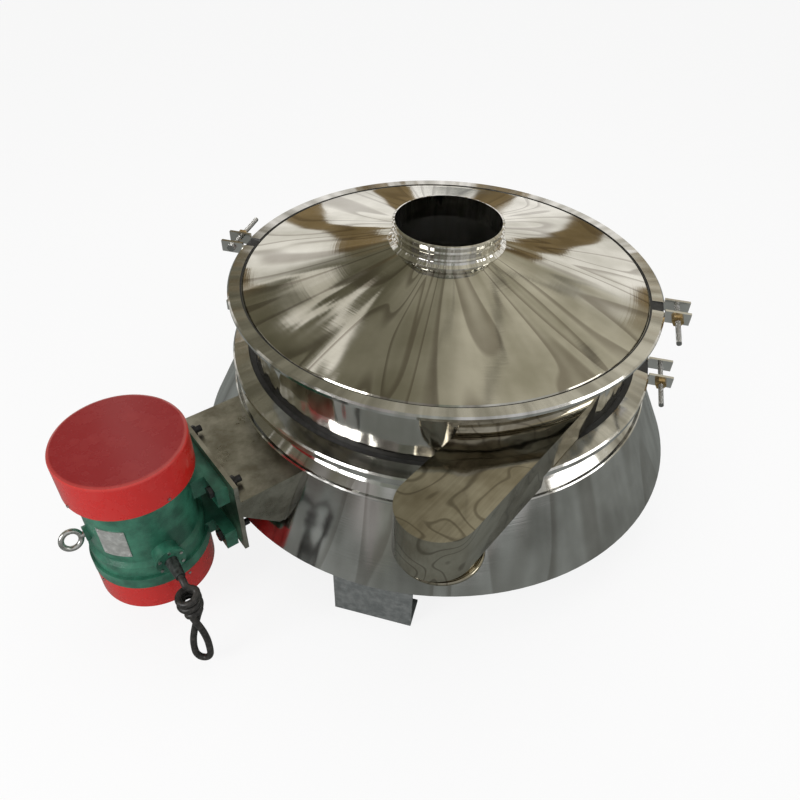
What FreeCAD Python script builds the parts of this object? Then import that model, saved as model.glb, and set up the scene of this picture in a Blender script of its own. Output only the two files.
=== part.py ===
"""Round vibrating sieve, nominal 1000 mm, with one vertical vibration motor on a side bracket.

Millimetres, +Z up. The origin is the drum's axis on the floor. -Y points at the middle of the
coarse outlet. Every size is a cell of the sheet "sizes", and the pieces are bound to its cells.
"""
import FreeCAD, Part
import math
import os
import re
import Sketcher

SIZES = {
    # clamp rings and the flanges they hold
    "flange_radius": 520, "flange_thick": 3, "seal_gap": 0.3, "clamp_sheet": 2, "clamp_lip": 502,
    "upper_clamp_radius": 532, "upper_clamp_top": 600, "upper_clamp_tall": 15,
    "lower_clamp_radius": 541, "lower_clamp_middle": 410.5, "lower_lip_half": 18.5,
    "lower_crest_half": 10.5, "clamp_corner": 4, "upper_gap": 42, "lower_gap": 60, "parting_angle": -11.5,
    "ear_reach": 57, "ear_thick": 8, "ear_tall": 30, "ear_bolt_reach": 29, "ear_bolt": 6, "ear_play": 0.5,
    "ear_bolt_end": 130, "ear_hex": 10.4, "ear_head_tall": 8, "ear_nut_hex": 14, "ear_nut_tall": 15,
    # drum, cover and inlet
    "drum_radius": 487.5, "drum_wall": 2.5, "cover_sheet": 3, "cover_rim": 494, "cover_top": 690,
    "inlet_radius": 130.5, "inlet_tall": 53, "inlet_wall": 3, "inlet_foot": 141, "bead": 3,
    "high_bead_share": 0.65, "low_bead_share": 0.31,
    # screen
    "screen_ring_radius": 516, "screen_ring_wide": 20, "screen_ring_tall": 15.2, "mesh_thick": 0.8,
    # coarse discharge spout
    "outlet_reach": 682.5, "spout_skew": 35.7, "spout_radius": 84, "spout_sheet": 2.5,
    "spout_top": 520, "spout_floor": 400, "spout_step": 434, "spout_step_radius": 562,
    "spout_fillet": 20, "fillet_edge": 0.8, "outlet_setback": 18, "outlet_radius": 83, "outlet_end": 374,
    "outlet_bead": 5,
    # base
    "neck_radius": 508, "base_sheet": 3, "neck_drop": 35.5, "edge_radius": 545, "flare_drop": 24,
    "skirt_radius": 638, "skirt_foot": 153.5, "ring_level": 200, "ring_thick": 8,
    "hopper_drop": 13.5, "hopper_neck": 250, "fines_radius": 110, "fines_end": 120,
    # support and feet
    "rail_inner": 545, "rail_radius": 620, "rail_level": 140, "rail_thick": 8, "rail_lip": 32,
    "foot_angle": -102.1, "foot_front": 618, "foot_wide": 190, "foot_thick": 8, "foot_deep": 70,
    "anchor_reach": 580, "anchor_radius": 7, "gusset_spread": 56,
    "buffer_reach": 577, "buffer_radius": 30, "buffer_plate": 3, "stud_radius": 5, "stud_long": 18,
    "stud_nut_hex": 9.8, "stud_nut_tall": 8, "stud_play": 0.3, "buffer_offset": 9,
    # motor bracket
    "motor_angle": -139.2, "plate_face": 692, "plate_thick": 10, "plate_half": 153, "plate_foot": 190,
    "plate_top": 396, "deck_lift": 2, "deck_thick": 8, "deck_far": 166, "deck_near": 150,
    "cheek_nose": 40, "cheek_foot": 215,
    # vibration motor
    "motor_reach": 851, "motor_bore": 94, "body_radius": 117, "body_top": 425, "cast_radius": 125,
    "cast_top": 262, "rim_radius": 131, "rim_top": 217, "rim_foot": 187, "cover_radius": 136.5,
    "motor_top": 518, "motor_foot": 108, "low_cover_radius": 130, "cover_wall": 2.5, "pad_thick": 28,
    "pad_half": 117, "pad_tall": 52, "pad_upper": 346, "pad_lower": 200, "web_half": 62,
    "motor_bolt": 8, "motor_bolt_lateral": 98, "motor_bolt_upper": 357.5, "motor_bolt_lower": 208,
    "motor_bolt_play": 0.5, "motor_hex": 13.9, "motor_head_tall": 10, "motor_nut_tall": 13,
    "washer_radius": 15, "washer_thick": 3, "motor_bolt_tail": 14,
    "shaft_radius": 20, "shaft_top": 500, "shaft_foot": 122, "rotor_radius": 58, "air_gap": 1,
    "stator_radius": 94, "stator_top": 392, "stator_foot": 262, "winding_tall": 16, "winding_radius": 84,
    "bearing_radius": 45, "bearing_tall": 20, "race": 6, "roller_play": 0.05, "bearing_inset": 4,
    "shield_thick": 28, "weight_radius": 92, "weight_thick": 20, "weight_play": 0.3, "hub_radius": 32,
    "weight_lift": 8, "bore_play": 0.05,
    "eye_level": 305, "eye_out": 152, "eye_ring": 20, "eye_wire": 6, "boss_radius": 17,
    "gland_angle": 89.2, "gland_level": 274, "gland_out": 150, "gland_plate_radius": 33,
    "gland_plate_thick": 8, "gland_boss_radius": 29, "nozzle_big": 14, "nozzle_small": 10.5,
    "nozzle_long": 48, "cord_radius": 7.5, "screw_radius": 3.5, "screw_head": 3, "screw_drop": 9,
    "cover_screw_angle": 104, "knot_reach": 21, "knot_core": 16,
    "knot_half": 40,
}
BUFFER_ANGLES = (0, 90, 180, 270)

doc = FreeCAD.newDocument("vibrating_sieve")
sheet = doc.addObject("Spreadsheet::Sheet", "sizes")
for row, (alias, value) in enumerate(SIZES.items(), 1):
    sheet.set(f"A{row}", alias)
    sheet.set(f"B{row}", str(value))
    sheet.setAlias(f"B{row}", alias)
doc.recompute()

parts = {}
MATHS = {"sin", "cos", "tan", "atan", "sqrt"}


def bound(text):
    """The expression with the sheet's name put before each of its cells."""
    return re.sub(r"[a-z_]\w*", lambda m: m[0] if m[0] in MATHS else "sizes." + m[0], str(text))


def number(text):
    """What an expression comes to now."""
    value = sheet.evalExpression(bound(text))
    return float(getattr(value, "Value", value))


def bind(thing, **values):
    """Set properties of an object, each to an expression in the sheet's cells."""
    for name, text in values.items():
        setattr(thing, name, number(text))
        thing.setExpression(name, bound(text))
    return thing


def place(thing, along=0, across=0, up=0, angle=0, tilt=None, reach=0):
    """Turn a thing about Z by angle after moving it by (reach + along, across, up)."""
    out = f"({reach}) + ({along})"
    spots = {
        "x": f"({out}) * cos({angle}) - ({across}) * sin({angle})",
        "y": f"({out}) * sin({angle}) + ({across}) * cos({angle})",
        "z": f"{up}",
    }
    base = FreeCAD.Vector(*(number(text) for text in spots.values()))
    turn = FreeCAD.Rotation(FreeCAD.Vector(0, 0, 1), number(angle))
    if tilt is not None:
        turn = turn * tilt
    thing.Placement = FreeCAD.Placement(base, turn)
    for axis, text in spots.items():
        thing.setExpression(f"Placement.Base.{axis}", bound(text))
    if tilt is None:
        thing.setExpression("Placement.Rotation.Angle", bound(angle))
    return thing


def new_body(label):
    body = doc.addObject("PartDesign::Body", label)
    body.Label = label
    return body


def outline(body, plane, points, level=None):
    """A closed sketch through the points, each coordinate bound to its expression."""
    sketch = body.newObject("Sketcher::SketchObject", body.Name + "_outline")
    origin = next(item for item in body.Origin.OriginFeatures if item.Role == plane)
    sketch.AttachmentSupport = [(origin, "")]
    sketch.MapMode = "FlatFace"
    if level is not None:
        sketch.setExpression("AttachmentOffset.Base.z", bound(level))
    spots = [FreeCAD.Vector(number(x), number(y), 0) for x, y in points]
    count = len(spots)
    for index in range(count):
        sketch.addGeometry(Part.LineSegment(spots[index], spots[(index + 1) % count]), False)
    for index in range(count):
        follower = (index + 1) % count
        sketch.addConstraint(Sketcher.Constraint("Coincident", index, 2, follower, 1))
    for index, (x, y) in enumerate(points):
        for kind, axis, text in (("DistanceX", -2, x), ("DistanceY", -1, y)):
            if str(text) == "0":
                sketch.addConstraint(Sketcher.Constraint("PointOnObject", index, 1, axis))
                continue
            limit = Sketcher.Constraint(kind, -1, 1, index, 1, number(text))
            spot = sketch.addConstraint(limit)
            sketch.setExpression(f"Constraints[{spot}]", bound(text))
    return sketch


def turned(label, points, sweep="360"):
    """A body revolved about Z from an outline of (radius, height) points."""
    body = new_body(label)
    sketch = outline(body, "XZ_Plane", points)
    feature = body.newObject("PartDesign::Revolution", label + "_turn")
    feature.Profile = sketch
    feature.ReferenceAxis = (sketch, ["V_Axis"])
    bind(feature, Angle=sweep)
    sketch.Visibility = False
    return body


def extruded(label, plane, points, length, level="0"):
    """A body padded from an outline on one of its origin planes."""
    body = new_body(label)
    sketch = outline(body, plane, points, level)
    feature = body.newObject("PartDesign::Pad", label + "_pad")
    feature.Profile = sketch
    bind(feature, Length=length)
    return body


def block(label, across, along, up):
    """A box between pairs of X, Y and Z expressions."""
    box = doc.addObject("Part::Box", label)
    bind(box, Length=f"({across[1]}) - ({across[0]})", Width=f"({along[1]}) - ({along[0]})",
         Height=f"({up[1]}) - ({up[0]})")
    box.Placement.Base = FreeCAD.Vector(number(across[0]), number(along[0]), number(up[0]))
    for axis, pair in zip("xyz", (across, along, up)):
        box.setExpression(f"Placement.Base.{axis}", bound(pair[0]))
    return box


def rod(label, radius, length, spot=("0", "0", "0"), axis=(0, 0, 1)):
    """A cylinder from a spot along an axis."""
    thing = doc.addObject("Part::Cylinder", label)
    bind(thing, Radius=radius, Height=length)
    return lay(thing, spot, axis)


def hexagon(label, radius, length, spot=("0", "0", "0"), axis=(0, 0, 1)):
    """A hexagonal prism from a spot along an axis."""
    thing = doc.addObject("Part::Prism", label)
    thing.Polygon = 6
    bind(thing, Circumradius=radius, Height=length)
    return lay(thing, spot, axis)


def lay(thing, spot, axis):
    turn = FreeCAD.Rotation(FreeCAD.Vector(0, 0, 1), FreeCAD.Vector(*axis))
    thing.Placement = FreeCAD.Placement(FreeCAD.Vector(*(number(text) for text in spot)), turn)
    for letter, text in zip("xyz", spot):
        thing.setExpression(f"Placement.Base.{letter}", bound(text))
    return thing


def cut(label, base, *tools):
    tool = tools[0] if len(tools) == 1 else fused(label + "_tools", *tools)
    thing = doc.addObject("Part::Cut", label)
    thing.Base = base
    thing.Tool = tool
    return thing


def fused(label, *pieces):
    thing = doc.addObject("Part::MultiFuse", label)
    thing.Shapes = list(pieces)
    return thing


def common(label, *pieces):
    thing = doc.addObject("Part::MultiCommon", label)
    thing.Shapes = list(pieces)
    return thing


def group(label, pieces):
    """Identical pieces in one node, each a solid of its own."""
    thing = doc.addObject("Part::Compound", label)
    thing.Links = list(pieces)
    return thing


def node(thing, label=None):
    """Keep a finished piece under its own name."""
    if label:
        thing.Label = label
    parts[thing.Label] = thing
    return thing


# ---------------------------------------------------------------------------------------------
# Support: a rail on four feet, with rubber buffers that carry the sieve
# ---------------------------------------------------------------------------------------------
rail_under = "rail_level - rail_thick"
node(turned("support_rail_blank", [
    ("rail_inner", "rail_level"), ("rail_inner", f"{rail_under} - rail_lip"),
    ("rail_inner + rail_thick", f"{rail_under} - rail_lip"), ("rail_inner + rail_thick", rail_under),
    ("rail_radius", rail_under), ("rail_radius", "rail_level")]), "support_rail")
rail = parts.pop("support_rail")


def around_buffers(make):
    """One copy of a piece at each buffer, made by make(index, angle expression)."""
    return [make(index, f"foot_angle + buffer_offset + {turn}") for index, turn in enumerate(BUFFER_ANGLES)]


def polar_rod(name, radius, length, up, reach, hexed=False):
    def make(index, angle):
        spot = (f"({reach}) * cos({angle})", f"({reach}) * sin({angle})", up)
        return (hexagon if hexed else rod)(f"{name}_{index}", radius, length, spot)
    return around_buffers(make)


rail_holes = polar_rod("rail_hole", "stud_radius + stud_play", "rail_thick + 2", f"{rail_under} - 1",
                       "buffer_reach")
rail.Label = "rail_blank"
node(cut("support_rail", rail, *rail_holes))

for name, turn in (("foot_front", 0), ("foot_right", 90), ("foot_back", 180), ("foot_left", 270)):
    angle = f"foot_angle + {turn}"
    wall = block(name + "_wall", ("foot_front - foot_thick", "foot_front"), ("-foot_wide / 2", "foot_wide / 2"),
                 ("0", rail_under))
    sole = block(name + "_sole", ("foot_front - foot_deep", "foot_front"), ("-foot_wide / 2", "foot_wide / 2"),
                 ("0", "foot_thick"))
    ribs = []
    for side in (-1, 1):
        rib = extruded(f"{name}_rib_{side + 1}", "XZ_Plane", [
            ("foot_front - foot_deep + 14", "foot_thick"), ("foot_front - foot_thick", "foot_thick"),
            ("foot_front - foot_thick", rail_under), ("foot_front - foot_deep + 40", rail_under)],
            "foot_thick", f"{side} * gusset_spread - foot_thick / 2")
        ribs.append(rib)
    hole = rod(name + "_hole", "anchor_radius", "foot_thick + 2", ("anchor_reach", "0", "-1"))
    foot = cut(name, fused(name + "_blank", wall, sole, *ribs), hole)
    node(place(foot, angle=angle))

buffer_foot = "rail_level + buffer_plate"
buffer_head = "ring_level - buffer_plate"
node(group("rubber_buffers", polar_rod("buffer", "buffer_radius", f"({buffer_head}) - ({buffer_foot})",
                                       buffer_foot, "buffer_reach")))


def studs(name, disc_level, shank_level):
    discs = polar_rod(name + "_disc", "buffer_radius", "buffer_plate", disc_level, "buffer_reach")
    shanks = polar_rod(name + "_shank", "stud_radius", "stud_long", shank_level, "buffer_reach")
    return group(name, [fused(f"{name}_{i}", *pair) for i, pair in enumerate(zip(discs, shanks))])


def nuts(name, level):
    blanks = polar_rod(name + "_hex", "stud_nut_hex", "stud_nut_tall", level, "buffer_reach", True)
    bores = polar_rod(name + "_bore", "stud_radius", "stud_nut_tall", level, "buffer_reach")
    return group(name, [cut(f"{name}_{i}", *pair) for i, pair in enumerate(zip(blanks, bores))])


node(studs("lower_buffer_studs", "rail_level", "rail_level - stud_long"))
node(nuts("lower_buffer_nuts", f"{rail_under} - stud_nut_tall"))
node(studs("upper_buffer_studs", buffer_head, "ring_level"))
node(nuts("upper_buffer_nuts", "ring_level + ring_thick"))

# ---------------------------------------------------------------------------------------------
# Base: neck and skirt in one pressing, a floor ring, and the hopper for the fines
# ---------------------------------------------------------------------------------------------
lower_stack_top = "(lower_clamp_middle + flange_thick + (screen_ring_tall + mesh_thick) / 2)"
lower_stack_foot = "(lower_clamp_middle - flange_thick - (screen_ring_tall + mesh_thick) / 2)"
neck_foot = f"({lower_stack_foot} - neck_drop)"
edge_level = f"({neck_foot} - flare_drop)"
hopper_rim = f"({lower_stack_foot} - hopper_drop)"
skirt_slope = f"((skirt_radius - edge_radius) / ({edge_level} - skirt_foot))"
skirt_offset = f"(base_sheet * sqrt(1 + {skirt_slope} * {skirt_slope}))"


def skirt_inside(level):
    """Radius of the skirt's inner face at a height."""
    return f"skirt_radius - (({level}) - skirt_foot) * {skirt_slope} - {skirt_offset}"


neck_inner = "neck_radius - base_sheet"
node(turned("base_skirt", [
    (neck_inner, f"{lower_stack_foot} + flange_thick"), (neck_inner, f"{neck_foot} + 1"),
    ("neck_radius + 6 - base_sheet", f"{neck_foot} - 8"), ("edge_radius - 12", edge_level),
    (skirt_inside(f"{edge_level} - 2"), f"{edge_level} - 2"),
    (skirt_inside("skirt_foot"), "skirt_foot"), ("skirt_radius", "skirt_foot"),
    ("edge_radius", edge_level), ("edge_radius", f"{edge_level} + 2"),
    ("edge_radius - 3", f"{edge_level} + 4.5"), ("edge_radius - 10", f"{edge_level} + 3.5"),
    ("neck_radius + 8", f"{neck_foot} - 6"), ("neck_radius + 2", neck_foot),
    ("neck_radius + 5", f"{neck_foot} + 3"), ("neck_radius + 4.5", f"{neck_foot} + 6.5"),
    ("neck_radius", f"{neck_foot} + 8"),
    ("neck_radius", lower_stack_foot), ("flange_radius", lower_stack_foot),
    ("flange_radius", f"{lower_stack_foot} + flange_thick")]))
ring_top = "ring_level + ring_thick"
wall_inner = f"{neck_inner} - base_sheet"
ring_blank = turned("base_ring_blank", [
    (wall_inner, "ring_level"), (skirt_inside("ring_level"), "ring_level"),
    (skirt_inside(ring_top), ring_top), (neck_inner, ring_top), (neck_inner, hopper_rim),
    (wall_inner, hopper_rim)])
ring_holes = polar_rod("ring_hole", "stud_radius + stud_play", "ring_thick + 2", "ring_level - 1",
                       "buffer_reach")
node(cut("base_ring", ring_blank, *ring_holes))
hopper_edge = f"{hopper_rim} - 8 * base_sheet"
node(turned("fines_hopper", [
    (wall_inner, f"{hopper_edge} + 4"), (wall_inner, hopper_edge),
    ("fines_radius", "hopper_neck"), ("fines_radius", "fines_end + 2 * bead"),
    ("fines_radius + bead", "fines_end + bead"), ("fines_radius", "fines_end"),
    ("fines_radius - base_sheet", "fines_end"), ("fines_radius - base_sheet", "hopper_neck + 2")]))

# ---------------------------------------------------------------------------------------------
# Screen: tension ring, woven mesh and the seal that wraps both flanges
# ---------------------------------------------------------------------------------------------
ring_foot = f"{lower_stack_foot} + flange_thick"
mesh_foot = f"{ring_foot} + screen_ring_tall"
screen_inner = "screen_ring_radius - screen_ring_wide"
node(turned("screen_ring", [
    (screen_inner, ring_foot), ("screen_ring_radius", ring_foot), ("screen_ring_radius", mesh_foot),
    (screen_inner, mesh_foot)]))
node(rod("screen_mesh", "screen_ring_radius", "mesh_thick", ("0", "0", mesh_foot)))
lip_slope = "((lower_lip_half - lower_crest_half) / (lower_clamp_radius - clamp_corner - clamp_lip))"
lip_offset = "(clamp_sheet * sqrt(1 + " + lip_slope + " * " + lip_slope + "))"


def lip_inside(radius, side, play="0"):
    """Height of the clamp lip's inner face at a radius, above (1) or below (-1) the middle."""
    half = f"lower_lip_half - (({radius}) - clamp_lip) * {lip_slope} - {lip_offset} - ({play})"
    return f"lower_clamp_middle + {side} * ({half})"


seal_outer = "lower_clamp_radius - clamp_sheet - seal_gap"
seal_bend = "lower_clamp_radius - clamp_corner - clamp_sheet"
low_lip = "neck_radius + seal_gap"
node(turned("screen_seal", [
    ("drum_radius + seal_gap", lower_stack_top), ("drum_radius + seal_gap", lip_inside("clamp_lip - 4", 1, "seal_gap")),
    ("clamp_lip - 4", lip_inside("clamp_lip - 4", 1, "seal_gap")),
    (seal_bend, lip_inside(seal_bend, 1, "seal_gap")),
    (seal_outer, lip_inside("lower_clamp_radius", 1, "clamp_corner")),
    (seal_outer, lip_inside("lower_clamp_radius", -1, "clamp_corner")),
    (seal_bend, lip_inside(seal_bend, -1, "seal_gap")),
    (low_lip, lip_inside(low_lip, -1, "seal_gap")), (low_lip, lower_stack_foot),
    ("flange_radius", lower_stack_foot), ("flange_radius", lower_stack_top)]))

# ---------------------------------------------------------------------------------------------
# Drum, its discharge spout, dust cover and inlet
# ---------------------------------------------------------------------------------------------
upper_middle = "(upper_clamp_top - upper_clamp_tall / 2)"
cover_seat = f"{upper_middle} + bead / 6"
drum_head = f"{upper_middle} - bead / 6"
drum_inner = "drum_radius - drum_wall"
drum_blank = turned("drum_blank", [
    (drum_inner, drum_head), (drum_inner, lower_stack_top + " - flange_thick"),
    ("flange_radius", lower_stack_top + " - flange_thick"), ("flange_radius", lower_stack_top),
    ("drum_radius", lower_stack_top), ("drum_radius", f"{drum_head} - flange_thick"),
    ("flange_radius", f"{drum_head} - flange_thick"), ("flange_radius", drum_head)])

spout_lateral = "(outlet_reach * sin(spout_skew))"
spout_along = "(outlet_reach * cos(spout_skew))"


def channel(name, radius, low, high):
    """The spout's plan outline as a solid: a straight channel that ends in a half circle."""
    nose = rod(name + "_nose", radius, f"({high}) - ({low})", (spout_along, spout_lateral, low))
    run = block(name + "_run", ("0", spout_along),
                (f"{spout_lateral} - ({radius})", f"{spout_lateral} + ({radius})"), (low, high))
    return fused(name, nose, run)


inside = "spout_radius - spout_sheet"
outer = channel("spout_outer", "spout_radius", "spout_floor", "spout_top")
relief = rod("spout_relief", "spout_step_radius", "spout_step - spout_floor", ("0", "0", "spout_floor"))
spout_body = cut("spout_body", outer, relief)
hollow = channel("spout_hollow", inside, "spout_floor + spout_sheet", "spout_top - spout_sheet")
hollow_relief = rod("spout_hollow_relief", "spout_step_radius + spout_sheet",
                    "spout_step - spout_floor", ("0", "0", "spout_floor + spout_sheet"))
spout_hollow = cut("spout_air", hollow, hollow_relief)
drum_bore = rod("drum_core", "drum_radius", "spout_top", ("0", "0", "0"))
collar_along = f"({spout_along} - outlet_setback)"
outlet_hole = rod("outlet_hole", "outlet_radius - spout_sheet", "spout_sheet + 2",
                  (collar_along, spout_lateral, "spout_floor - 1"))
spout_shell = cut("spout_shell", spout_body, spout_hollow, drum_bore, outlet_hole)
collar_blank = rod("outlet_collar_blank", "outlet_radius", "spout_floor - outlet_end",
                   (collar_along, spout_lateral, "outlet_end"))
collar_bead = doc.addObject("Part::Torus", "outlet_rim")
bind(collar_bead, Radius1="outlet_radius + outlet_bead - spout_sheet / 2", Radius2="outlet_bead")
lay(collar_bead, (collar_along, spout_lateral, "outlet_end + outlet_bead"), (0, 0, 1))
collar_bore = rod("outlet_collar_bore", "outlet_radius - spout_sheet", "spout_floor - outlet_end",
                  (collar_along, spout_lateral, "outlet_end"))
collar = cut("outlet_collar", fused("outlet_collar_outer", collar_blank, collar_bead), collar_bore)
fillet_reach = "drum_radius + spout_fillet"
fillet_top = "spout_top + spout_fillet"
fillet_block = turned("spout_fillet_block", [
    ("drum_radius", "spout_top"), (fillet_reach, "spout_top"), (fillet_reach, fillet_top),
    ("drum_radius", fillet_top)])
fillet_round = doc.addObject("Part::Torus", "spout_fillet_round")
bind(fillet_round, Radius1=fillet_reach, Radius2="spout_fillet - fillet_edge")
lay(fillet_round, ("0", "0", fillet_top), (0, 0, 1))
fillet = common("spout_fillet", cut("spout_fillet_ring", fillet_block, fillet_round),
                channel("spout_fillet_plan", "spout_radius", "spout_top", fillet_top))
spout_angle = "-90 - spout_skew"
node(place(fused("discharge_spout", spout_shell, collar, fillet), angle=spout_angle))
window = channel("drum_window", inside, "spout_step + spout_sheet", "spout_top - spout_sheet")
window_far = cut("drum_window_side", window, block("drum_window_stop", ("-spout_radius", "0"),
                 ("0", "drum_radius"), ("spout_step", "spout_top")))
place(window_far, angle=spout_angle)
node(cut("screen_drum", drum_blank, window_far))

cover_flange_top = f"{cover_seat} + flange_thick"
cone_fall = "((cover_top - upper_clamp_top) / (cover_rim - inlet_foot))"
node(turned("dust_cover", [
    ("flange_radius", cover_seat), ("flange_radius", cover_flange_top), ("cover_rim + 3", cover_flange_top),
    ("cover_rim", "upper_clamp_top"), ("inlet_foot", "cover_top"),
    ("inlet_radius", "cover_top + 1"),
    ("inlet_radius", "cover_top + 1 - cover_sheet"), ("inlet_foot", "cover_top - cover_sheet"),
    ("cover_rim - 2", "upper_clamp_top - cover_sheet"), ("drum_radius - 3", cover_seat)]))
node(turned("cover_seal", [
    ("drum_radius", drum_head), ("drum_radius", cover_seat), ("flange_radius", cover_seat),
    ("flange_radius", cover_flange_top), ("cover_rim + 4", cover_flange_top),
    ("cover_rim + 4", "upper_clamp_top - clamp_sheet - seal_gap"),
    ("upper_clamp_radius - clamp_sheet - clamp_corner", "upper_clamp_top - clamp_sheet - seal_gap"),
    ("upper_clamp_radius - clamp_sheet - seal_gap", "upper_clamp_top - clamp_sheet - clamp_corner"),
    ("upper_clamp_radius - clamp_sheet - seal_gap",
     "upper_clamp_top - upper_clamp_tall + clamp_sheet + clamp_corner"),
    ("upper_clamp_radius - clamp_sheet - clamp_corner",
     "upper_clamp_top - upper_clamp_tall + clamp_sheet + seal_gap"),
    ("cover_rim + 4", "upper_clamp_top - upper_clamp_tall + clamp_sheet + seal_gap"),
    ("cover_rim + 4", f"{drum_head} - flange_thick"), ("flange_radius", f"{drum_head} - flange_thick"),
    ("flange_radius", drum_head)]))
inlet_inner = "inlet_radius - inlet_wall"
inlet_top = "cover_top + inlet_tall"


def inlet_bead(share):
    """The outline of a rolled bead, downward, at a share of the collar's height."""
    middle = f"cover_top + inlet_tall * {share}"
    return [("inlet_radius", f"{middle} + 1.5 * bead"), ("inlet_radius + bead", f"{middle} + bead / 2"),
            ("inlet_radius + bead", f"{middle} - bead / 2"), ("inlet_radius", f"{middle} - 1.5 * bead")]


node(turned("inlet_collar", [
    (inlet_inner, "cover_top + 1 - cover_sheet"), (inlet_inner, f"{inlet_top} - bead"),
    ("inlet_radius - bead", inlet_top), ("inlet_radius + 1", f"{inlet_top} - 1"),
    ("inlet_radius + bead", f"{inlet_top} - bead"), ("inlet_radius + 1", f"{inlet_top} - 2 * bead"),
    *inlet_bead("high_bead_share"), *inlet_bead("low_bead_share"),
    ("inlet_radius + bead", "cover_top + inlet_tall * low_bead_share / 2"), ("inlet_foot", "cover_top + 3"),
    ("inlet_foot", "cover_top"), ("inlet_radius", "cover_top + 1"),
    ("inlet_radius", "cover_top + 1 - cover_sheet")]))

# ---------------------------------------------------------------------------------------------
# Clamp rings: each is two halves drawn together by two tangential bolts at the parting line
# ---------------------------------------------------------------------------------------------


def clamp_half(name, section, radius, middle, gap, turn):
    """Half a ring between the parting gaps, with a bent ear standing out at each end."""
    half_gap = f"({gap} / 2 / ({radius}) * 57.29578)"
    band = turned(name + "_band", section, f"180 - 2 * {half_gap}")
    band.Placement = FreeCAD.Placement(FreeCAD.Vector(), FreeCAD.Rotation(FreeCAD.Vector(0, 0, 1), 1))
    band.setExpression("Placement.Rotation.Angle", bound(half_gap))
    pieces = [band]
    for side in (-1, 1):
        low, high = f"({radius}) - clamp_sheet", f"({radius}) + ear_reach"
        across = (low, high) if side == 1 else (f"-({high})", f"-({low})")
        ear = block(f"{name}_ear_{side + 1}", across, (f"{gap} / 2", f"{gap} / 2 + ear_thick"),
                    (f"{middle} - ear_tall / 2", f"{middle} + ear_tall / 2"))
        hole = rod(f"{name}_ear_hole_{side + 1}", "ear_bolt + ear_play", "ear_thick + 2",
                   (f"{side} * (({radius}) + ear_bolt_reach)", f"{gap} / 2 - 1", middle), (0, 1, 0))
        pieces.append(cut(f"{name}_ear_cut_{side + 1}", ear, hole))
    half = fused(name, *pieces)
    return node(place(half, angle=f"parting_angle + {turn}"))


def clamp_bolt(name, radius, middle, gap, turn):
    """The bolt of one half: its head bears on that half's first ear and its shank crosses the gap."""
    reach = f"({radius}) + ear_bolt_reach"
    seat = f"{gap} / 2 + ear_thick"
    head = hexagon(name + "_head", "ear_hex", "ear_head_tall", (reach, seat, middle), (0, 1, 0))
    shank = rod(name + "_shank", "ear_bolt", f"{seat} + ear_bolt_end", (reach, seat, middle), (0, -1, 0))
    return node(place(fused(name, head, shank), angle=f"parting_angle + {turn}"))


def clamp_nut(name, radius, middle, gap, turn):
    """The nut of one half, outside its second ear, with running play on the other half's bolt."""
    reach = f"-(({radius}) + ear_bolt_reach)"
    seat = f"{gap} / 2 + ear_thick"
    blank = hexagon(name + "_hex", "ear_nut_hex", "ear_nut_tall", (reach, seat, middle), (0, 1, 0))
    bore = rod(name + "_bore", "ear_bolt + bore_play", "ear_nut_tall", (reach, seat, middle), (0, 1, 0))
    return node(place(cut(name, blank, bore), angle=f"parting_angle + {turn}"))


upper_foot = "upper_clamp_top - upper_clamp_tall"
upper_section = [
    ("clamp_lip", "upper_clamp_top"), ("upper_clamp_radius - clamp_corner", "upper_clamp_top"),
    ("upper_clamp_radius", "upper_clamp_top - clamp_corner"),
    ("upper_clamp_radius", f"{upper_foot} + clamp_corner"),
    ("upper_clamp_radius - clamp_corner", upper_foot), ("clamp_lip", upper_foot),
    ("clamp_lip", f"{upper_foot} + clamp_sheet"),
    ("upper_clamp_radius - clamp_sheet - clamp_corner + 1", f"{upper_foot} + clamp_sheet"),
    ("upper_clamp_radius - clamp_sheet", f"{upper_foot} + clamp_sheet + clamp_corner - 1"),
    ("upper_clamp_radius - clamp_sheet", "upper_clamp_top - clamp_sheet - clamp_corner + 1"),
    ("upper_clamp_radius - clamp_sheet - clamp_corner + 1", "upper_clamp_top - clamp_sheet"),
    ("clamp_lip", "upper_clamp_top - clamp_sheet")]
crest = "lower_clamp_radius - clamp_corner"
crest_in = "lower_clamp_radius - clamp_sheet - clamp_corner + 1"
lower_inner = "neck_radius + 3"
wall_in = "lower_clamp_radius - clamp_sheet"
lower_section = [
    ("clamp_lip", f"{lip_inside('clamp_lip', 1)} + {lip_offset}"),
    (crest, f"{lip_inside(crest, 1)} + {lip_offset}"),
    ("lower_clamp_radius", lip_inside("lower_clamp_radius", 1, "clamp_corner - 3")),
    ("lower_clamp_radius", lip_inside("lower_clamp_radius", -1, "clamp_corner - 3")),
    (crest, f"{lip_inside(crest, -1)} - {lip_offset}"),
    (lower_inner, f"{lip_inside(lower_inner, -1)} - {lip_offset}"),
    (lower_inner, lip_inside(lower_inner, -1)), (crest_in, lip_inside(crest_in, -1)),
    (wall_in, lip_inside(wall_in, -1, "clamp_corner - 3")),
    (wall_in, lip_inside(wall_in, 1, "clamp_corner - 3")),
    (crest_in, lip_inside(crest_in, 1)), ("clamp_lip", lip_inside("clamp_lip", 1))]
for level, section, radius, middle in (
        ("upper", upper_section, "upper_clamp_radius", "(upper_clamp_top - upper_clamp_tall / 2)"),
        ("lower", lower_section, "lower_clamp_radius", "lower_clamp_middle")):
    for half, turn in (("back", 0), ("front", 180)):
        where = (radius, middle, f"{level}_gap", turn)
        clamp_half(f"{level}_clamp_{half}", section, *where)
        clamp_bolt(f"{level}_bolt_{half}", *where)
        clamp_nut(f"{level}_nut_{half}", *where)

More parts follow.
